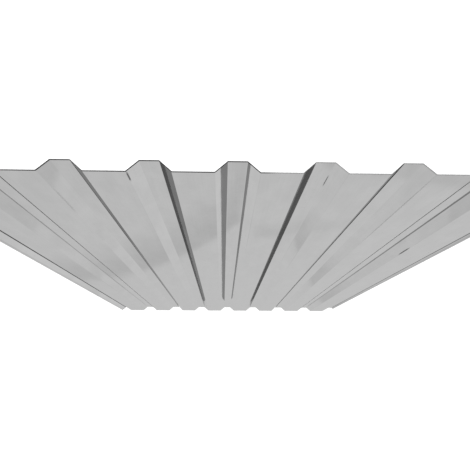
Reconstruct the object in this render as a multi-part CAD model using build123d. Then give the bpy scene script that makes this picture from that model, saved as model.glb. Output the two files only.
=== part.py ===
from build123d import *
import os

# Sizes of the rolled sheet, in millimetres
sheet_length = 2000.0
rib_pitch = 137.5
profile_depth = 18.0
valley_width = 31.0
web_run = 20.0
gauge = 0.7
bend_radius = 1.5

# Sizes of the two side laps: a short lip on one edge, a narrow valley under a full lip on the other
short_lip_rise = 5.8
edge_valley_width = 6.6

# Pitches across the cover width
pitch_count = 8

# Heights of the middle of the metal in the valleys and on the crowns
low = gauge / 2
high = low + profile_depth

# Corners of the middle line, from the short lip to the full lip
half_valley = valley_width / 2
first_valley = -rib_pitch * pitch_count / 2
short_lip_run = short_lip_rise * web_run / profile_depth
corners = [(first_valley - half_valley - short_lip_run, low + short_lip_rise)]
corners.append((first_valley - half_valley, low))
for step in range(pitch_count):
    valley = first_valley + step * rib_pitch
    corners.append((valley + half_valley, low))
    corners.append((valley + half_valley + web_run, high))
    corners.append((valley + rib_pitch - half_valley - web_run, high))
    corners.append((valley + rib_pitch - half_valley, low))
full_lip_foot = corners[-1][0] + edge_valley_width
corners.append((full_lip_foot, low))
corners.append((full_lip_foot + web_run, high))

# The middle line with its bends, thickened to the gauge
middle_line = FilletPolyline(*corners, radius=bend_radius + gauge / 2)
section = trace(middle_line, gauge)

# The section drawn out along the sheet and centred on its width
centre = section.bounding_box().center()
mid_length = Plane.XZ * Pos(-centre.X, 0) * section
sheet = extrude(mid_length, sheet_length / 2, both=True)

os.makedirs("parts", exist_ok=True)
export_step(sheet, "parts/sheet.step")
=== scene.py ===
import logging
import math
from collections.abc import Mapping
from dataclasses import dataclass, field
from enum import Enum, IntEnum
from typing import Any, Protocol, Union

import bpy
from mathutils import Matrix, Vector


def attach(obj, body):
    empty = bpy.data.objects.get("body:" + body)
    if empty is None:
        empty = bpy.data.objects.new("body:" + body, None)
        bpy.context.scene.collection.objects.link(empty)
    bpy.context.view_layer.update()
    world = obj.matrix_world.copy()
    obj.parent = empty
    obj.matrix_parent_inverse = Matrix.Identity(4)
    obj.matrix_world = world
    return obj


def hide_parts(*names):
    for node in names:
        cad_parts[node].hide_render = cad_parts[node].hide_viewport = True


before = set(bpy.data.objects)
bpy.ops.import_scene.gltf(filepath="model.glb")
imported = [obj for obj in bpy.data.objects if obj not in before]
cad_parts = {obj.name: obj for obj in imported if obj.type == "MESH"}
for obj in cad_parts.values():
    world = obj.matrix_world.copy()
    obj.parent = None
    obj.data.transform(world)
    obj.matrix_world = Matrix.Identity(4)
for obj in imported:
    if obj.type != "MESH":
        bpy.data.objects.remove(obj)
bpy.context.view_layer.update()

log = logging.getLogger("profiled_sheet")

Span = tuple[float, float]
Triple = tuple[float, float, float]
Feed = Union[float, int, bool, str, tuple, bpy.types.Material, bpy.types.NodeSocket]
Sockets = Mapping[str, bpy.types.NodeSocket]

# The part of a noise's range that is stretched to fill 0 to 1.
NOISE_RANGE: Span = (0.3, 0.7)
# The share of a stroke's width that is full, before its soft side.
STROKE_CORE = 0.7
# The blend at which a surface's facing is 1 less its cosine.
EVEN_BLEND = 0.5
# Corners of the section to a pitch, the middle of their numbers, and corners to a lip.
PITCH_CORNERS = 4.0
MIDDLE_CORNER = 1.5
LIP_CORNERS = 2.0
# How far under the top a crown may lie, and how far apart welded points may be, in metres.
FLATNESS = 0.00001
WELD_GAP = 0.000001
# The angle past which an edge stays sharp, in radians.
CREASE_ANGLE = 0.03
# The sheet's own map, the share of its width in use, and the bands of the sheet's two sides.
MAP_NAME = "OFBake"
MAP_FILL = 0.996
UPPER_BAND: Span = (0.002, 0.680)
UNDER_BAND: Span = (0.690, 0.945)
# Where the cut sides' strips start on the map, how far apart they are and how much of that they fill.
STRIP_START = 0.955
STRIP_STEP = 0.011
STRIP_FILL = 0.6


class Face(IntEnum):
    """The two kinds of surface that the sheet has, by the number of their material."""

    ROLLED = 0
    SHEARED = 1


class Trace(Enum):
    """The attributes that tell a finish where on the sheet it is."""

    OUTER_EDGE = "outer_edge"
    CUT_END = "cut_end"


def grey(tone: float) -> tuple[float, float, float, float]:
    """Gives the plain grey of a tone."""
    return (tone, tone, tone, 1.0)


@dataclass
class NodeBench:
    """A node tree being wired up.

    Attributes:
        tree: The tree that the nodes go into.
    """

    tree: bpy.types.NodeTree

    def add(self, kind: str, **settings: Any) -> bpy.types.Node:
        """Adds one node.

        Args:
            kind: The node's type name.
            **settings: Properties set on the new node.

        Returns:
            The node.
        """
        made = self.tree.nodes.new(kind)
        for name, value in settings.items():
            setattr(made, name, value)
        return made

    def feed(self, socket: bpy.types.NodeSocket, value: Feed) -> None:
        """Links a socket to an input, or sets its own value.

        Args:
            socket: The input to fill.
            value: An output to link from, or a plain value.
        """
        if isinstance(value, bpy.types.NodeSocket):
            self.tree.links.new(value, socket)
        else:
            socket.default_value = value

    def wire(self, kind: str, inputs: dict[Union[str, int], Feed], **settings: Any) -> bpy.types.Node:
        """Adds one node and fills its inputs.

        Args:
            kind: The node's type name.
            inputs: What goes into each input, by its name or number.
            **settings: Properties set on the new node.

        Returns:
            The node.
        """
        made = self.add(kind, **settings)
        for key, value in inputs.items():
            self.feed(made.inputs[key], value)
        return made

    def math(self, operation: str, *values: Feed, clamp: bool = False) -> bpy.types.NodeSocket:
        """Works out one number.

        Args:
            operation: The Math node's operation.
            *values: Its inputs, in order.
            clamp: Whether the result is held between 0 and 1.

        Returns:
            The result's socket.
        """
        made = self.wire("ShaderNodeMath", dict(enumerate(values)), operation=operation, use_clamp=clamp)
        return made.outputs[0]

    def chain(self, operation: str, *values: Feed) -> bpy.types.NodeSocket:
        """Takes several numbers together, two at a time.

        Args:
            operation: The Math node's operation.
            *values: The numbers.

        Returns:
            The result's socket.
        """
        total, *rest = values
        for value in rest:
            total = self.math(operation, total, value)
        return total

    def vector(self, operation: str, inputs: dict[Union[str, int], Feed]) -> bpy.types.NodeSocket:
        """Works out one vector.

        Args:
            operation: The Vector Math node's operation.
            inputs: What goes into each input, by its name or number.

        Returns:
            The result's socket.
        """
        return self.wire("ShaderNodeVectorMath", inputs, operation=operation).outputs[0]

    def split(self, place: Feed) -> Sockets:
        """Takes a vector apart into X, Y and Z."""
        return self.wire("ShaderNodeSeparateXYZ", {0: place}).outputs

    def gap(self, value: Feed, mark: Feed) -> bpy.types.NodeSocket:
        """Works out how far a number is from a mark."""
        return self.math("ABSOLUTE", self.math("SUBTRACT", value, mark))

    def ramp(
        self, value: Feed, low: Feed, high: Feed, to_low: Feed = 0.0, to_high: Feed = 1.0
    ) -> bpy.types.NodeSocket:
        """Maps a number smoothly from one range to another.

        Args:
            value: The number.
            low: Where the change starts.
            high: Where the change ends.
            to_low: The result at the start.
            to_high: The result at the end.

        Returns:
            The result's socket.
        """
        made = self.wire(
            "ShaderNodeMapRange",
            {"Value": value, "From Min": low, "From Max": high, "To Min": to_low, "To Max": to_high},
            interpolation_type="SMOOTHSTEP",
        )
        return made.outputs["Result"]

    def stroke(self, gap: Feed, width: float) -> bpy.types.NodeSocket:
        """Draws a line along an edge, by the distance from that edge.

        Args:
            gap: The distance.
            width: The line's width.

        Returns:
            A mask, 1 in the line and 0 past it.
        """
        return self.ramp(gap, width, width * STROKE_CORE)

    def stretched(self, place: Feed, stretch: float) -> bpy.types.NodeSocket:
        """Draws a pattern's places out along the sheet.

        Args:
            place: Where the pattern is looked up.
            stretch: How much longer than wide it becomes.

        Returns:
            The new places.
        """
        return self.vector("MULTIPLY", {0: place, 1: (1.0, 1.0 / stretch, 1.0)})

    def noise(self, place: Feed, scale: Feed, **more: Feed) -> bpy.types.NodeSocket:
        """Makes soft noise that fills the range from 0 to 1.

        Args:
            place: Where it is looked up.
            scale: How fine it is.
            **more: The Noise Texture node's other inputs.

        Returns:
            The noise.
        """
        made = self.wire("ShaderNodeTexNoise", {"Vector": place, "Scale": scale, **more})
        return self.ramp(made.outputs[0], *NOISE_RANGE)

    def greys(self, share: Feed, low: float, high: float) -> bpy.types.NodeSocket:
        """Mixes two greys.

        Args:
            share: How much of the second grey there is.
            low: Tone of the first grey.
            high: Tone of the second.

        Returns:
            The colour.
        """
        inputs = {"Factor": share, "A": grey(low), "B": grey(high)}
        return self.wire("ShaderNodeMix", inputs, data_type="RGBA").outputs["Result"]


@dataclass(frozen=True)
class HandlingMarks:
    """Faint marks that rolling and handling leave on every surface of the sheet.

    Attributes:
        name: The node group's name.
        streak_width: Usual width of a rolling streak, in metres.
        streak_stretch: How much longer than wide a streak is.
        smudge_width: Usual width of a smudge, in metres.
    """

    name: str = "handling_marks"
    streak_width: float = 0.004
    streak_stretch: float = 60.0
    smudge_width: float = 0.25

    def group(self) -> bpy.types.NodeTree:
        """Builds the shader group, once.

        Returns:
            A group with inputs Streak Width and Smudge Width, and outputs Streaks and Smudges from 0 to 1.
        """
        made = bpy.data.node_groups.get(self.name)
        if made:
            return made
        made = bpy.data.node_groups.new(self.name, "ShaderNodeTree")
        for label, width in (("Streak Width", self.streak_width), ("Smudge Width", self.smudge_width)):
            socket = made.interface.new_socket(name=label, in_out="INPUT", socket_type="NodeSocketFloat")
            socket.default_value = width
        for label in ("Streaks", "Smudges"):
            made.interface.new_socket(name=label, in_out="OUTPUT", socket_type="NodeSocketFloat")
        bench = NodeBench(made)
        given = bench.add("NodeGroupInput").outputs
        place = bench.add("ShaderNodeTexCoord").outputs["Object"]
        drawn = bench.stretched(place, self.streak_stretch)
        fine = bench.math("DIVIDE", 1.0, given["Streak Width"])
        broad = bench.math("DIVIDE", 1.0, given["Smudge Width"])
        streaks = bench.noise(drawn, fine, Detail=3.0, Roughness=0.6)
        smudges = bench.noise(place, broad, Detail=4.0, Roughness=0.5, Distortion=0.4)
        bench.wire("NodeGroupOutput", {"Streaks": streaks, "Smudges": smudges})
        return made


@dataclass(frozen=True)
class Mark:
    """A dark mark that runs along the sheet: painted shade in a bend, or a rub.

    Attributes:
        across: Its place across the sheet, in metres, as all sizes here.
        width: Its width.
        strength: How dark it is, from 0 to 1.
        along: Its middle along the sheet.
        length: Its length, which is past both ends unless it is given.
    """

    across: float
    width: float
    strength: float = 1.0
    along: float = 0.0
    length: float = 8.0

    def mask(self, bench: NodeBench, across: Feed, along: Feed) -> bpy.types.NodeSocket:
        """Draws the mark, soft at its sides and over a third of its length at each end.

        Args:
            bench: The material's tree.
            across: The place across the sheet.
            along: The place along the sheet.

        Returns:
            A mask, as high as the mark is dark.
        """
        sides = bench.stroke(bench.gap(across, self.across), self.width / 2)
        ends = bench.ramp(bench.gap(along, self.along), self.length / 2, self.length / 6)
        return bench.chain("MULTIPLY", sides, ends, self.strength)


class Finish(Protocol):
    """What the sheet asks of a finish."""

    def material(self) -> bpy.types.Material:
        """Builds the material."""


@dataclass(frozen=True)
class ZincFinish:
    """Smooth bright zinc over rolled steel, with dark lines on two crown edges, painted shade along the cut
    ends, at the full lip's foot and in two side bends, and a painted highlight on the full lip.

    Attributes:
        name: The material's name.
        dull: Tone of the duller clouds, crystals and streaks.
        bright: Tone of the brighter ones.
        cloud: Width of a cloud in the zinc, in metres, as all sizes here.
        cloud_stretch: How much longer than wide a cloud is.
        cloud_share: How much of the tone the clouds decide.
        crystal: Width of a zinc crystal.
        crystal_stir: How far a crystal's edges wander, in crystals.
        stir_fineness: Wanderings to one crystal.
        crystal_share: How much of the tone the crystals decide.
        handling_share: How much of the tone the streaks decide, and the smudges as much again.
        relief: Height of the clouds.
        streak_relief: Height of the streaks, beside that of the clouds.
        roughness: Roughness of the clean zinc.
        smudge_roughness: What a smudge adds to it.
        crystal_roughness: What a crystal adds to it at most.
        crown_edge_line: Width of the dark line along the outer edge of a side crown.
        crown_line_start: Where that line sets in, by the distance from the middle: none, and full.
        crown_line_stop: Where it ends: none, and full.
        cut_end_shade: Width of the painted shade along the cut ends, a dark line beside each cut face.
        shear_shade_faint: How much of that painted shade is left where it is faint.
        shear_shade_fade: Where across the sheet it goes from faint to whole.
        dark_line_keep: How much of its tone the zinc keeps in a dark line, be it painted shade, a crown-edge
            line or a rub.
        lip_foot: Where across the sheet the full lip starts.
        lip_highlight: How much brighter the full lip is, a painted highlight.
        rim: Where a lip's dull rim starts, by the distance from the middle.
        rim_tone: How much of its tone the rim keeps.
        marks: The dark marks on the upper side: painted shade at the foot of the full lip and in two side
            bends, three short rubs and two long faint ones.
    """

    name: str = "bright_zinc"
    dull: float = 0.376
    bright: float = 0.426
    cloud: float = 0.026
    cloud_stretch: float = 3.5
    cloud_share: float = 0.45
    crystal: float = 0.014
    crystal_stir: float = 0.4
    stir_fineness: float = 0.7
    crystal_share: float = 0.15
    handling_share: float = 0.2
    relief: float = 0.00002
    streak_relief: float = 0.3
    roughness: float = 0.03
    smudge_roughness: float = 0.02
    crystal_roughness: float = 0.01
    crown_edge_line: float = 0.0025
    crown_line_start: Span = (0.28, 0.36)
    crown_line_stop: Span = (0.48, 0.42)
    cut_end_shade: float = 0.0030
    shear_shade_faint: float = 0.2
    shear_shade_fade: Span = (-0.055, -0.035)
    dark_line_keep: float = 0.07
    lip_foot: Span = (0.544, 0.548)
    lip_highlight: float = 1.10
    rim: Span = (0.5616, 0.5626)
    rim_tone: float = 0.86
    marks: tuple[Mark, ...] = (
        # The first three marks are painted shade: at the full lip's foot and in two side bends.
        Mark(across=0.5480, width=0.0044, strength=0.80),
        Mark(across=-0.2544, width=0.0020),
        Mark(across=0.2642, width=0.0026),
        Mark(across=0.1777, width=0.0026, strength=0.58, along=-0.976, length=0.050),
        Mark(across=-0.1467, width=0.0022, strength=0.50, along=-0.921, length=0.062),
        Mark(across=-0.4416, width=0.0026, strength=0.65, along=-0.460, length=0.100),
        Mark(across=0.3151, width=0.0030, strength=0.12, along=-0.850, length=0.180),
        Mark(across=-0.3053, width=0.0030, strength=0.15, along=-0.780, length=0.550),
    )

    def level_gloss(self, bench: NodeBench) -> bpy.types.NodeSocket:
        """Keeps the reflection at a glancing angle as weak as it is head on.

        A metal's reflection gains (1 - tone) * facing ** 5 towards a glancing angle, and its edge tint
        takes away a share of its strength at a cosine of one seventh. The tint here makes the two equal.

        Args:
            bench: The material's tree.

        Returns:
            The edge tint.
        """
        tone = (self.dull + self.bright) / 2
        tint_cosine = 1.0 / 7.0
        tint_facing = 1.0 - tint_cosine
        tint_strength = tone + (1.0 - tone) * tint_facing**5
        balance = (1.0 - tone) * tint_facing**6 * tint_cosine / tint_strength
        facing = bench.wire("ShaderNodeLayerWeight", {"Blend": EVEN_BLEND}).outputs["Facing"]
        slope = bench.math("MULTIPLY", facing, bench.math("SUBTRACT", 1.0, facing))
        return bench.math("SUBTRACT", 1.0, bench.math("DIVIDE", balance, slope), clamp=True)

    def trace(self, bench: NodeBench, trace: Trace) -> bpy.types.NodeSocket:
        """Reads one of the sheet's attributes."""
        return bench.add("ShaderNodeAttribute", attribute_name=trace.value).outputs["Fac"]

    def upper_side(self, bench: NodeBench) -> bpy.types.NodeSocket:
        """Tells the upper side, where the crown-edge lines, the painted shade in the bends and the rubs lie,
        from the underside.
        """
        normal = bench.split(bench.add("ShaderNodeTexCoord").outputs["Normal"])
        return bench.math("GREATER_THAN", normal["Z"], 0.0)

    def dark_lines(self, bench: NodeBench, across: Feed, along: Feed) -> bpy.types.NodeSocket:
        """Draws the dark lines on crown edges, the painted shade along the cut ends, and the marks.

        Args:
            bench: The material's tree.
            across: The place across the sheet.
            along: The place along the sheet.

        Returns:
            A mask, 1 in a line.
        """
        side = bench.math("ABSOLUTE", across)
        # A dark line along the outer edges of the two side crowns.
        rolled = bench.chain(
            "MULTIPLY",
            bench.stroke(self.trace(bench, Trace.OUTER_EDGE), self.crown_edge_line),
            bench.ramp(side, *self.crown_line_start),
            bench.ramp(side, *self.crown_line_stop),
        )
        # Painted shade along the cut ends, fainter towards -X.
        shorn = bench.math(
            "MULTIPLY",
            bench.stroke(self.trace(bench, Trace.CUT_END), self.cut_end_shade),
            bench.ramp(across, *self.shear_shade_fade, self.shear_shade_faint, 1.0),
        )
        drawn = (mark.mask(bench, across, along) for mark in self.marks)
        upper = bench.math("MULTIPLY", bench.chain("MAXIMUM", rolled, *drawn), self.upper_side(bench))
        return bench.math("MAXIMUM", upper, shorn)

    def crystals(self, bench: NodeBench, place: Feed) -> bpy.types.NodeSocket:
        """Draws the zinc's crystals.

        Args:
            bench: The material's tree.
            place: The place on the sheet.

        Returns:
            A number from 0 to 1 for each crystal.
        """
        stir = bench.wire(
            "ShaderNodeTexNoise", {"Vector": place, "Scale": self.stir_fineness / self.crystal, "Detail": 2.0}
        )
        shift = bench.vector("SCALE", {0: stir.outputs["Color"], "Scale": self.crystal_stir * self.crystal})
        stirred = bench.vector("ADD", {0: place, 1: shift})
        cells = bench.wire("ShaderNodeTexVoronoi", {"Vector": stirred, "Scale": 1.0 / self.crystal})
        return bench.wire("ShaderNodeSeparateColor", {0: cells.outputs["Color"]}).outputs[0]

    def kept_tone(self, bench: NodeBench, across: Feed, lines: Feed) -> bpy.types.NodeSocket:
        """Works out how much of its tone the zinc keeps in dark lines and on the lips.

        Args:
            bench: The material's tree.
            across: The place across the sheet.
            lines: The dark lines' mask.

        Returns:
            The share of the tone.
        """
        # Darkens the zinc in the dark lines, painted shade among them.
        clean = bench.math("MULTIPLY_ADD", lines, self.dark_line_keep - 1.0, 1.0)
        # Painted highlight: the full lip's zinc is brighter than the rest.
        lip = bench.ramp(across, *self.lip_foot, 1.0, self.lip_highlight)
        rim = bench.ramp(bench.math("ABSOLUTE", across), *self.rim, 1.0, self.rim_tone)
        return bench.chain("MULTIPLY", clean, lip, rim)

    def material(self) -> bpy.types.Material:
        """Builds the material.

        Returns:
            The zinc, with faint clouds, crystals, rolling streaks and smudges, and matt dark lines.
        """
        made = bpy.data.materials.new(self.name)
        made.use_nodes = True
        bench = NodeBench(made.node_tree)
        shader = made.node_tree.nodes["Principled BSDF"].inputs
        handling = bench.add("ShaderNodeGroup", node_tree=HandlingMarks().group()).outputs
        place = bench.add("ShaderNodeTexCoord").outputs["Object"]
        spot = bench.split(place)
        crystal = self.crystals(bench, place)
        cloud = bench.noise(bench.stretched(place, self.cloud_stretch), 1.0 / self.cloud, Detail=2.0)
        tone = bench.math("MULTIPLY", cloud, self.cloud_share)
        tone = bench.math("MULTIPLY_ADD", crystal, self.crystal_share, tone)
        for label in ("Streaks", "Smudges"):
            tone = bench.math("MULTIPLY_ADD", handling[label], self.handling_share, tone)
        lines = self.dark_lines(bench, spot["X"], spot["Y"])
        keep = self.kept_tone(bench, spot["X"], lines)
        zinc = bench.greys(tone, self.dull, self.bright)
        rough = bench.math("MULTIPLY_ADD", handling["Smudges"], self.smudge_roughness, self.roughness)
        height = bench.math("MULTIPLY_ADD", handling["Streaks"], self.streak_relief, cloud)
        bump = bench.wire("ShaderNodeBump", {"Height": height, "Distance": self.relief})
        bench.feed(shader["Base Color"], bench.vector("SCALE", {0: zinc, "Scale": keep}))
        bench.feed(shader["Metallic"], bench.math("SUBTRACT", 1.0, lines))
        bench.feed(shader["Roughness"], bench.math("MULTIPLY_ADD", crystal, self.crystal_roughness, rough))
        bench.feed(shader["Normal"], bump.outputs[0])
        bench.feed(shader["Specular IOR Level"], 0.0)
        bench.feed(shader["Specular Tint"], self.level_gloss(bench))
        return made


@dataclass(frozen=True)
class ShearedFinish:
    """Bare steel where the sheet was sheared, with zinc dragged over it here and there.

    Attributes:
        name: The material's name.
        bare: Tone of the bare steel.
        dragged: Tone where zinc covers it.
        covering: Where across the sheet zinc comes to cover it: none, and all.
        smudge_cover: How much a smudge covers.
        roughness: Roughness of the torn metal.
        streak_roughness: What a streak adds to it.
        streak_width: Width of a streak, in metres.
        smudge_width: Width of a smudge, in metres.
    """

    name: str = "sheared_steel"
    bare: float = 0.05
    dragged: float = 0.30
    covering: Span = (-0.02, -0.14)
    smudge_cover: float = 0.25
    roughness: float = 0.45
    streak_roughness: float = 0.1
    streak_width: float = 0.002
    smudge_width: float = 0.12

    def material(self) -> bpy.types.Material:
        """Builds the material.

        Returns:
            The sheared steel.
        """
        made = bpy.data.materials.new(self.name)
        made.use_nodes = True
        bench = NodeBench(made.node_tree)
        shader = made.node_tree.nodes["Principled BSDF"].inputs
        handling = bench.wire(
            "ShaderNodeGroup",
            {"Streak Width": self.streak_width, "Smudge Width": self.smudge_width},
            node_tree=HandlingMarks().group(),
        ).outputs
        place = bench.split(bench.add("ShaderNodeTexCoord").outputs["Object"])
        covered = bench.ramp(place["X"], *self.covering)
        drag = bench.math("MULTIPLY_ADD", handling["Smudges"], self.smudge_cover, covered, clamp=True)
        rough = bench.math("MULTIPLY_ADD", handling["Streaks"], self.streak_roughness, self.roughness)
        bench.feed(shader["Base Color"], bench.greys(drag, self.bare, self.dragged))
        bench.feed(shader["Metallic"], 1.0)
        bench.feed(shader["Roughness"], rough)
        return made


@dataclass
class ProfiledSheet:
    """The rolled sheet, drawn from its section by one node tree.

    Attributes:
        length: Along the ribs, in metres, as all sizes here.
        pitch: From one valley to the next.
        depth: From the valley floors up to the crowns.
        valley: Width of a valley floor over its bends.
        web_run: Width that a sloping web takes up.
        gauge: Thickness of the metal.
        bend: Inside radius of a bend.
        short_lip: Rise of the short lip.
        edge_valley: Width of the narrow valley under the full lip.
        pitches: Pitches across the cover width.
        waviness: How far the crowns dip between the webs.
        wave_fineness: Dips to a metre.
        rows: Vertices along the length.
        panel_step: Widest strip of a flat.
        bend_steps: Facets round one bend.
        seed: Fixes the waves in the crowns.
        finishes: The finish of each kind of surface.
    """

    length: float = 2.0
    pitch: float = 0.1375
    depth: float = 0.018
    valley: float = 0.031
    web_run: float = 0.020
    gauge: float = 0.0007
    bend: float = 0.0015
    short_lip: float = 0.0058
    edge_valley: float = 0.0066
    pitches: int = 8
    waviness: float = 0.0001
    wave_fineness: float = 4.5
    rows: int = 51
    panel_step: float = 0.014
    bend_steps: int = 7
    seed: float = 3.7
    finishes: dict[Face, Finish] = field(
        default_factory=lambda: {Face.ROLLED: ZincFinish(), Face.SHEARED: ShearedFinish()}
    )

    def inputs(self) -> dict[str, Union[float, int]]:
        """Gives the tree's named inputs with this sheet's sizes.

        Returns:
            Each input's value by its name.
        """
        return {
            "Length": self.length,
            "Pitch": self.pitch,
            "Depth": self.depth,
            "Valley": self.valley,
            "Web Run": self.web_run,
            "Gauge": self.gauge,
            "Bend": self.bend,
            "Short Lip": self.short_lip,
            "Edge Valley": self.edge_valley,
            "Waviness": self.waviness,
            "Wave Fineness": self.wave_fineness,
            "Panel Step": self.panel_step,
            "Seed": self.seed,
            "Pitches": self.pitches,
            "Rows": self.rows,
            "Bend Steps": self.bend_steps,
        }

    def missing_rise(self, bench: NodeBench, given: Sockets) -> bpy.types.NodeSocket:
        """Works out the share of the depth that the short lip lacks."""
        return bench.math("SUBTRACT", 1.0, bench.math("DIVIDE", given["Short Lip"], given["Depth"]))

    def narrowing(self, bench: NodeBench, given: Sockets) -> bpy.types.NodeSocket:
        """Works out how much wider the edge valley is than the others, which is less than nothing."""
        return bench.math("SUBTRACT", given["Edge Valley"], given["Valley"])

    def centre(self, bench: NodeBench, given: Sockets) -> bpy.types.NodeSocket:
        """Works out how far the sheet's middle is from the middle pitch, as its lips are unequal.

        Args:
            bench: The tree.
            given: The tree's inputs.

        Returns:
            The distance across the sheet.
        """
        lean = bench.math("MULTIPLY", given["Web Run"], self.missing_rise(bench, given))
        return bench.math("DIVIDE", bench.math("ADD", self.narrowing(bench, given), lean), 2.0)

    def corner(self, bench: NodeBench, given: Sockets) -> bpy.types.NodeSocket:
        """Places each numbered corner of the section's middle line.

        Four corners make one pitch: a valley's edge, the crown's two edges and the next valley's edge. The
        first and last two of all make the lips.

        Args:
            bench: The tree.
            given: The tree's inputs.

        Returns:
            The position field for the corners.
        """
        index = bench.add("GeometryNodeInputIndex").outputs[0]
        count = bench.math("SUBTRACT", index, LIP_CORNERS)
        group = bench.math("FLOOR", bench.math("DIVIDE", count, PITCH_CORNERS))
        turn = bench.math("SUBTRACT", count, bench.math("MULTIPLY", group, PITCH_CORNERS))
        second = bench.math("GREATER_THAN", turn, MIDDLE_CORNER)
        side = bench.math("MULTIPLY_ADD", second, -2.0, 1.0)
        raised = bench.math("LESS_THAN", bench.gap(turn, MIDDLE_CORNER), 1.0)
        first = bench.math("LESS_THAN", index, 0.5)
        cut = bench.math("MULTIPLY", first, self.missing_rise(bench, given))
        raised = bench.math("MULTIPLY", raised, bench.math("SUBTRACT", 1.0, cut))
        half_count = bench.math("DIVIDE", given["Pitches"], 2.0)
        step = bench.math("SUBTRACT", bench.math("ADD", group, second), half_count)
        half_valley = bench.math("DIVIDE", given["Valley"], 2.0)
        reach = bench.math("MULTIPLY_ADD", given["Web Run"], raised, half_valley)
        across = bench.math("MULTIPLY_ADD", step, given["Pitch"], bench.math("MULTIPLY", side, reach))
        last = bench.math("GREATER_THAN", group, bench.math("SUBTRACT", given["Pitches"], 0.5))
        across = bench.math("MULTIPLY_ADD", last, self.narrowing(bench, given), across)
        across = bench.math("SUBTRACT", across, self.centre(bench, given))
        half_gauge = bench.math("DIVIDE", given["Gauge"], 2.0)
        up = bench.math("MULTIPLY_ADD", given["Depth"], raised, half_gauge)
        return bench.wire("ShaderNodeCombineXYZ", {"X": across, "Z": up}).outputs[0]

    def section(self, bench: NodeBench, given: Sockets) -> bpy.types.NodeSocket:
        """Draws the section's middle line with its bends, and divides its flats.

        Args:
            bench: The tree.
            given: The tree's inputs.

        Returns:
            The curve.
        """
        corners = bench.math("MULTIPLY_ADD", given["Pitches"], PITCH_CORNERS, 2.0 * LIP_CORNERS)
        place = self.corner(bench, given)
        points = bench.wire("GeometryNodePoints", {"Count": corners, "Position": place})
        line = bench.wire("GeometryNodePointsToCurves", {"Points": points.outputs[0]})
        radius = bench.math("MULTIPLY_ADD", given["Gauge"], 0.5, given["Bend"])
        bent = bench.wire(
            "GeometryNodeFilletCurve",
            {"Curve": line.outputs[0], "Radius": radius, "Count": given["Bend Steps"]},
            mode="POLY",
        )
        here = bench.add("GeometryNodeSplineParameter").outputs["Length"]
        following = bench.math("ADD", bench.add("GeometryNodeInputIndex").outputs[0], 1.0)
        there = bench.wire(
            "GeometryNodeFieldAtIndex", {"Value": here, "Index": following}, data_type="FLOAT"
        )
        run = bench.math("SUBTRACT", there.outputs[0], here)
        cuts = bench.math("FLOOR", bench.math("DIVIDE", run, given["Panel Step"]))
        cuts = bench.math("MAXIMUM", cuts, 0.0)
        return bench.wire("GeometryNodeSubdivideCurve", {"Curve": bent.outputs[0], "Cuts": cuts}).outputs[0]

    def dip(
        self, bench: NodeBench, given: Sockets, seat: Feed, bowl: Feed, flat: Feed
    ) -> bpy.types.NodeSocket:
        """Works out how far the crowns sink between the webs.

        Args:
            bench: The tree.
            given: The tree's inputs.
            seat: The place on the level sheet.
            bowl: How deep the dip may be across a crown, from 0 to 1.
            flat: Whether the place is on a crown.

        Returns:
            The offset field.
        """
        wave = bench.wire(
            "ShaderNodeTexNoise",
            {"Vector": seat, "W": given["Seed"], "Scale": given["Wave Fineness"], "Detail": 1.0},
            noise_dimensions="4D",
        )
        share = bench.chain("MULTIPLY", bowl, flat, bench.ramp(wave.outputs[0], *NOISE_RANGE))
        sunk = bench.math("MULTIPLY", share, bench.math("MULTIPLY", given["Waviness"], -1.0))
        return bench.wire("ShaderNodeCombineXYZ", {"Z": sunk}).outputs[0]

    def surface(self, bench: NodeBench, given: Sockets) -> bpy.types.NodeSocket:
        """Draws the middle line out along the sheet, lets the crowns dip a little and stores the traces.

        Args:
            bench: The tree.
            given: The tree's inputs.

        Returns:
            The middle surface.
        """
        curve = self.section(bench, given)
        size = bench.wire("GeometryNodeAttributeDomainSize", {"Geometry": curve}, component="CURVE")
        columns = size.outputs["Point Count"]
        grid = bench.wire("GeometryNodeMeshGrid", {"Vertices X": columns, "Vertices Y": given["Rows"]})
        index = bench.add("GeometryNodeInputIndex").outputs[0]
        column = bench.math("FLOOR", bench.math("DIVIDE", bench.math("ADD", index, 0.5), given["Rows"]))
        row = bench.math("SUBTRACT", index, bench.math("MULTIPLY", column, given["Rows"]))
        share = bench.math("DIVIDE", row, bench.math("SUBTRACT", given["Rows"], 1.0))
        along = bench.math("MULTIPLY", bench.math("SUBTRACT", share, 0.5), given["Length"])
        sample = bench.wire(
            "GeometryNodeSampleIndex",
            {"Geometry": curve, "Value": bench.add("GeometryNodeInputPosition").outputs[0], "Index": column},
            data_type="FLOAT_VECTOR",
        )
        spot = bench.split(sample.outputs[0])
        seat = bench.wire("ShaderNodeCombineXYZ", {"X": spot["X"], "Y": along, "Z": spot["Z"]}).outputs[0]

        top = bench.math("MULTIPLY_ADD", given["Gauge"], 0.5, given["Depth"])
        flat = bench.math("GREATER_THAN", spot["Z"], bench.math("SUBTRACT", top, FLATNESS))
        beat = bench.math("DIVIDE", spot["X"], given["Pitch"])
        beat = bench.math("ADD", beat, bench.math("DIVIDE", self.centre(bench, given), given["Pitch"]))
        beat = bench.math("ADD", beat, bench.math("MULTIPLY", given["Pitches"], 2.0))
        beat = bench.math("SUBTRACT", bench.math("FRACT", beat), 0.5)
        off = bench.math("MULTIPLY", beat, given["Pitch"])
        crown = bench.math("SUBTRACT", given["Pitch"], given["Valley"])
        crown = bench.math("SUBTRACT", crown, bench.math("MULTIPLY", given["Web Run"], 2.0))
        half_crown = bench.math("DIVIDE", crown, 2.0)
        reach = bench.math("DIVIDE", off, half_crown)
        bowl = bench.math("SUBTRACT", 1.0, bench.math("MULTIPLY", reach, reach), clamp=True)
        dip = self.dip(bench, given, seat, bowl, flat)
        placed = bench.wire(
            "GeometryNodeSetPosition", {"Geometry": grid.outputs["Mesh"], "Position": seat, "Offset": dip}
        )

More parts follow.
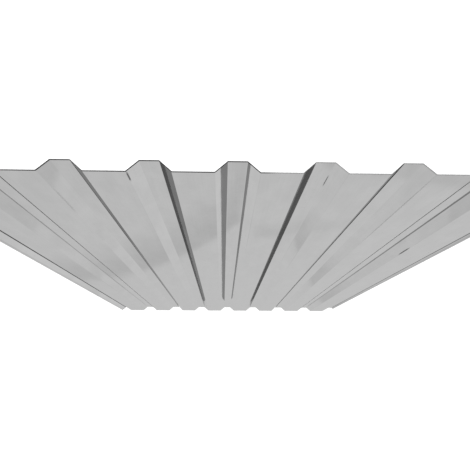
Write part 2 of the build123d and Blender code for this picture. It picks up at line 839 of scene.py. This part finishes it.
        outward = bench.math("MULTIPLY", off, bench.math("SIGN", spot["X"]))
        off_crown = bench.math("MULTIPLY", bench.math("SUBTRACT", 1.0, flat), given["Pitch"])
        inset = bench.math("ADD", bench.math("SUBTRACT", half_crown, outward), off_crown)
        half_length = bench.math("DIVIDE", given["Length"], 2.0)
        end_gap = bench.math("SUBTRACT", half_length, bench.math("ABSOLUTE", along))
        traced = placed.outputs[0]
        for trace, value in ((Trace.OUTER_EDGE, inset), (Trace.CUT_END, end_gap)):
            stored = bench.wire(
                "GeometryNodeStoreNamedAttribute",
                {"Geometry": traced, "Name": trace.value, "Value": value},
                data_type="FLOAT",
                domain="POINT",
            )
            traced = stored.outputs[0]
        return traced

    def shell(self, bench: NodeBench, given: Sockets) -> tuple[bpy.types.NodeSocket, bpy.types.NodeSocket]:
        """Thickens the middle surface to the gauge, with smooth flats and creased bends.

        Args:
            bench: The tree.
            given: The tree's inputs.

        Returns:
            The closed sheet, and the field that picks its cut faces.
        """
        middle = self.surface(bench, given)
        normal = bench.add("GeometryNodeInputNormal").outputs[0]
        half = bench.math("MULTIPLY", given["Gauge"], -0.5)
        drop = bench.vector("SCALE", {0: normal, "Scale": half})
        under = bench.wire("GeometryNodeSetPosition", {"Geometry": middle, "Offset": drop}).outputs[0]
        grown = bench.wire(
            "GeometryNodeExtrudeMesh",
            {"Mesh": under, "Offset Scale": given["Gauge"], "Individual": False},
            mode="FACES",
        )
        back = bench.wire("GeometryNodeFlipFaces", {"Mesh": under})
        both = bench.add("GeometryNodeJoinGeometry")
        bench.feed(both.inputs[0], grown.outputs["Mesh"])
        bench.feed(both.inputs[0], back.outputs[0])
        closed = bench.wire(
            "GeometryNodeMergeByDistance", {"Geometry": both.outputs[0], "Distance": WELD_GAP}
        )
        smooth = bench.wire(
            "GeometryNodeSetShadeSmooth",
            {"Geometry": closed.outputs[0], "Shade Smooth": True},
            domain="FACE",
        )
        angle = bench.add("GeometryNodeInputMeshEdgeAngle").outputs["Unsigned Angle"]
        sharp = bench.math("GREATER_THAN", angle, CREASE_ANGLE)
        creased = bench.wire(
            "GeometryNodeSetShadeSmooth",
            {"Geometry": smooth.outputs[0], "Selection": sharp, "Shade Smooth": False},
            domain="EDGE",
        )
        return creased.outputs[0], grown.outputs["Side"]

    def tree(self) -> bpy.types.NodeTree:
        """Builds the node tree that makes the sheet.

        Returns:
            The tree, with an input for each size.
        """
        made = bpy.data.node_groups.new("rolled_sheet", "GeometryNodeTree")
        for label, value in self.inputs().items():
            kind = "NodeSocketInt" if isinstance(value, int) else "NodeSocketFloat"
            made.interface.new_socket(name=label, in_out="INPUT", socket_type=kind)
        made.interface.new_socket(name="Sheet", in_out="OUTPUT", socket_type="NodeSocketGeometry")
        bench = NodeBench(made)
        given = bench.add("NodeGroupInput").outputs
        sheet, cut = self.shell(bench, given)
        whole = bench.wire("GeometryNodeRealizeInstances", {"Geometry": sheet})
        zinc = bench.wire(
            "GeometryNodeSetMaterial",
            {"Geometry": whole.outputs[0], "Material": self.finishes[Face.ROLLED].material()},
        )
        shorn = bench.wire(
            "GeometryNodeSetMaterial",
            {
                "Geometry": zinc.outputs[0],
                "Selection": cut,
                "Material": self.finishes[Face.SHEARED].material(),
            },
        )
        bench.wire("NodeGroupOutput", {0: shorn.outputs[0]})
        return made

    def map_place(self, face: bpy.types.MeshPolygon, across: float, along: float, above: bool) -> Span:
        """Finds where a face's corner lies on the sheet's map.

        Args:
            face: The face.
            across: The corner's place across the sheet, from 0 to 1.
            along: Its place along the sheet, from 0 to 1.
            above: Whether it is on the upper side.

        Returns:
            The place on the map.
        """
        if face.material_index == Face.ROLLED:
            low, high = UPPER_BAND if above else UNDER_BAND
            return across, low + (high - low) * along
        outward = face.normal
        if abs(outward.y) > abs(outward.x):
            run, strip = across, int(outward.y > 0.0)
        else:
            run, strip = along, 2 + int(outward.x > 0.0)
        return run, STRIP_START + STRIP_STEP * (strip + STRIP_FILL * above)

    def lay_map(self, mesh: bpy.types.Mesh) -> None:
        """Lays the sheet out on a map as seen from above, so that thin lines along it stay whole.

        Args:
            mesh: The sheet's mesh.
        """
        layer = mesh.uv_layers.new(name=MAP_NAME)
        width = 2.0 * max(vertex.co.x for vertex in mesh.vertices)
        rolled = [face for face in mesh.polygons if face.material_index == Face.ROLLED]
        upper = {number for face in rolled if face.normal.z > 0.0 for number in face.vertices}
        for face in mesh.polygons:
            for corner, number in zip(face.loop_indices, face.vertices):
                spot = mesh.vertices[number].co
                across = 0.5 + MAP_FILL * spot.x / width
                along = 0.5 + MAP_FILL * spot.y / self.length
                layer.uv[corner].vector = self.map_place(face, across, along, number in upper)

    def build(self) -> bpy.types.Object:
        """Makes the sheet as a plain mesh.

        Returns:
            The sheet's object, at the origin.
        """
        host = bpy.data.objects.new("sheet_host", bpy.data.meshes.new("sheet_host"))
        bpy.context.scene.collection.objects.link(host)
        modifier = host.modifiers.new("rolled_sheet", "NODES")
        modifier.node_group = self.tree()
        values = self.inputs()
        for item in modifier.node_group.interface.items_tree:
            if item.in_out == "INPUT":
                modifier[item.identifier] = values[item.name]
        settled = host.evaluated_get(bpy.context.evaluated_depsgraph_get())
        mesh = bpy.data.meshes.new_from_object(settled)
        mesh.materials.pop(index=0)
        bpy.data.objects.remove(host)
        mesh.name = "rolled_sheet"
        self.lay_map(mesh)
        piece = bpy.data.objects.new("rolled_sheet", mesh)
        bpy.context.scene.collection.objects.link(piece)
        return piece

    def dress(self, piece: bpy.types.Object) -> None:
        """Puts the sheet in the place of its CAD node.

        Args:
            piece: The sheet's object.
        """
        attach(piece, "root")
        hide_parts("sheet")


@dataclass(frozen=True)
class Fold:
    """One soft fold in the dome, ahead of the camera.

    A direction is named by how far it leans across and how far it rises for each unit that it goes ahead.

    Attributes:
        hem: Rise of the fold's lower edge straight ahead.
        begin: Where across the fold starts, and over what width.
        end: Where across it ends, and over what width.
        depth: How much darker the fold is.
        soft: Height over which it sets in.
        reach: Height over which it fades out, straight ahead.
        taper: How that height grows across.
        slope: How the lower edge climbs across.
        curve: How it bends across.
    """

    hem: float
    begin: Span
    end: Span
    depth: float
    soft: float
    reach: float
    taper: float = 0.0
    slope: float = 0.0
    curve: float = 0.0

    def shade(self, bench: NodeBench, across: Feed, rise: Feed) -> bpy.types.NodeSocket:
        """Works out what the fold leaves of the dome's light.

        Args:
            bench: The dome's tree.
            across: The direction's lean.
            rise: The direction's rise.

        Returns:
            The share of the light that is left.
        """
        bent = bench.math("MULTIPLY_ADD", across, self.curve, self.slope)
        hem = bench.math("MULTIPLY_ADD", across, bent, self.hem)
        above = bench.math("SUBTRACT", rise, hem)
        reach = bench.math("MULTIPLY_ADD", across, self.taper, self.reach)
        start, start_width = self.begin
        stop, stop_width = self.end
        folded = bench.chain(
            "MULTIPLY",
            bench.ramp(above, 0.0, self.soft),
            bench.ramp(above, reach, self.soft),
            bench.ramp(across, start - start_width / 2, start + start_width / 2),
            bench.ramp(across, stop + stop_width / 2, stop - stop_width / 2),
        )
        return bench.math("MULTIPLY_ADD", folded, -self.depth, 1.0)


@dataclass
class Studio:
    """A pale floor in a soft white dome, and the camera.

    Attributes:
        dome: Brightness of the dome at each height, from the horizon at 0 to overhead at 1.
        tilt: How much brighter the dome is on the short lip's side than on the other.
        folds: The soft folds in the dome.
        fold_front: How far ahead a direction goes where the folds set in.
        least_ahead: The least that a direction counts as going ahead.
        shade: Brightness of the dome as the floor sees it.
        floor_size: Side of the floor, in metres.
        floor_tone: Tone of the floor.
        floor_roughness: Roughness of the floor.
        floor_glow: What the floor gives out by itself, as a light table does.
        key_strength: Strength of the low soft key light, which reaches in under the sheet's near end.
        key_height: The key's height above the horizon, in degrees.
        key_spread: The angle that the key takes up, in degrees.
        eye: Where the camera stands, in metres.
        forward: The way it looks.
        upward: The way its picture's top points.
        focal: Focal length, in widths of the picture.
        sensor: Width of the picture in the camera, in millimetres.
        clip: The nearest and farthest that the camera sees, in metres.
    """

    dome: tuple[Span, ...] = ((0.00, 1.27), (0.14, 1.26), (0.36, 1.20), (0.46, 1.15), (1.00, 1.15))
    tilt: float = 0.06
    folds: tuple[Fold, ...] = (
        Fold(
            hem=0.260,
            begin=(-0.035, 0.030),
            end=(0.36, 0.06),
            depth=0.155,
            soft=0.013,
            reach=0.152,
            taper=-0.27,
            slope=-0.70,
            curve=1.20,
        ),
        Fold(
            hem=0.310, begin=(-0.060, 0.015), end=(-0.022, 0.04), depth=0.090, soft=0.060, reach=0.450
        ),
        Fold(
            hem=0.242,
            begin=(-0.250, 0.150),
            end=(-0.060, 0.02),
            depth=0.085,
            soft=0.014,
            reach=0.042,
            slope=-0.10,
        ),
        Fold(
            hem=0.434,
            begin=(-2.000, 0.100),
            end=(-0.215, 0.03),
            depth=0.095,
            soft=0.018,
            reach=0.200,
            slope=0.15,
        ),
        Fold(
            hem=0.455,
            begin=(0.220, 0.040),
            end=(2.00, 0.10),
            depth=0.075,
            soft=0.015,
            reach=0.200,
            slope=0.15,
        ),
    )
    fold_front: Span = (0.5, 0.7)
    least_ahead: float = 0.2
    shade: float = 0.15
    floor_size: float = 60.0
    floor_tone: float = 0.92
    floor_roughness: float = 0.9
    floor_glow: float = 0.9
    key_strength: float = 1.0
    key_height: float = 14.0
    key_spread: float = 55.0
    eye: Triple = (0.0259529, -1.7260179, 0.3076976)
    forward: Triple = (-0.02171767, 0.96744365, -0.25215296)
    upward: Triple = (0.00882962, -0.25201701, -0.96768252)
    focal: float = 503.082 / 470.0
    sensor: float = 36.0
    clip: Span = (0.02, 200.0)

    def folded(self, bench: NodeBench, ray: Sockets) -> bpy.types.NodeSocket:
        """Works out what all the folds leave of the dome's light.

        Args:
            bench: The dome's tree.
            ray: The direction's X, Y and Z.

        Returns:
            The share of the light that is left.
        """
        ahead = bench.math("MAXIMUM", ray["Y"], self.least_ahead)
        across = bench.math("DIVIDE", ray["X"], ahead)
        rise = bench.math("DIVIDE", ray["Z"], ahead)
        left = bench.chain("MULTIPLY", *(fold.shade(bench, across, rise) for fold in self.folds))
        front = bench.ramp(ray["Y"], *self.fold_front)
        return bench.math("MULTIPLY_ADD", front, bench.math("SUBTRACT", left, 1.0), 1.0)

    def build_dome(self) -> None:
        """Makes the dome, nearly even, with a few soft folds ahead of the camera."""
        world = bpy.data.worlds.new("white_dome")
        world.use_nodes = True
        bpy.context.scene.world = world
        bench = NodeBench(world.node_tree)
        ray = bench.split(bench.add("ShaderNodeTexCoord").outputs["Generated"])
        glow = bench.wire("ShaderNodeValToRGB", {"Fac": ray["Z"]})
        stops = glow.color_ramp.elements
        for height, _ in self.dome[1:-1]:
            stops.new(height)
        for stop, (height, level) in zip(stops, self.dome):
            stop.position = height
            stop.color = grey(level)
        tilted = bench.math("MULTIPLY_ADD", ray["X"], -self.tilt, 1.0)
        lit = bench.chain("MULTIPLY", self.folded(bench, ray), tilted, glow.outputs["Color"])
        diffuse = bench.add("ShaderNodeLightPath").outputs["Is Diffuse Ray"]
        strength = bench.math("MULTIPLY_ADD", diffuse, bench.math("SUBTRACT", self.shade, lit), lit)
        background = world.node_tree.nodes["Background"].inputs
        bench.feed(background["Color"], grey(1.0))
        bench.feed(background["Strength"], strength)

    def build_floor(self) -> None:
        """Makes the floor."""
        half = self.floor_size / 2
        rim = [(-half, -half, 0), (half, -half, 0), (half, half, 0), (-half, half, 0)]
        mesh = bpy.data.meshes.new("pale_floor")
        mesh.from_pydata(rim, [], [(0, 1, 2, 3)])
        floor = bpy.data.objects.new("pale_floor", mesh)
        bpy.context.scene.collection.objects.link(floor)
        paint = bpy.data.materials.new("pale_floor")
        paint.use_nodes = True
        shader = paint.node_tree.nodes["Principled BSDF"].inputs
        shader["Base Color"].default_value = grey(self.floor_tone)
        shader["Roughness"].default_value = self.floor_roughness
        shader["Specular IOR Level"].default_value = 0.0
        shader["Emission Color"].default_value = grey(1.0)
        shader["Emission Strength"].default_value = self.floor_glow
        mesh.materials.append(paint)

    def build_key(self) -> None:
        """Makes the low soft key light, from the camera's side."""
        lamp = bpy.data.lights.new("low_key", "SUN")
        lamp.energy = self.key_strength
        lamp.angle = math.radians(self.key_spread)
        key = bpy.data.objects.new("low_key", lamp)
        bpy.context.scene.collection.objects.link(key)
        key.rotation_euler = (math.radians(90.0 - self.key_height), 0.0, 0.0)
        key.visible_glossy = False

    def build_camera(self) -> None:
        """Makes the camera, turned over as the picture was."""
        lens = bpy.data.cameras.new("view")
        lens.sensor_width = self.sensor
        lens.lens = self.sensor * self.focal
        lens.clip_start, lens.clip_end = self.clip
        camera = bpy.data.objects.new("view", lens)
        bpy.context.scene.collection.objects.link(camera)
        look = Vector(self.forward).normalized()
        right = look.cross(Vector(self.upward).normalized()).normalized()
        turn = Matrix((right, right.cross(look).normalized(), -look)).transposed()
        camera.matrix_world = Matrix.Translation(Vector(self.eye)) @ turn.to_4x4()
        bpy.context.scene.camera = camera

    def build(self) -> None:
        """Makes the whole studio and sets the plain view of colour."""
        self.build_dome()
        self.build_floor()
        self.build_key()
        self.build_camera()
        bpy.context.scene.view_settings.view_transform = "Standard"


def main() -> None:
    """Builds the sheet and its studio, and reports each piece."""
    logging.basicConfig(level=logging.INFO, format="%(name)s: %(message)s")
    sheet = ProfiledSheet()
    piece = sheet.build()
    sheet.dress(piece)
    log.info("%s: %d faces, %d materials", piece.name, len(piece.data.polygons), len(piece.data.materials))
    Studio().build()
    log.info("studio: dome, floor, key and camera")


if __name__ == "__main__":
    main()
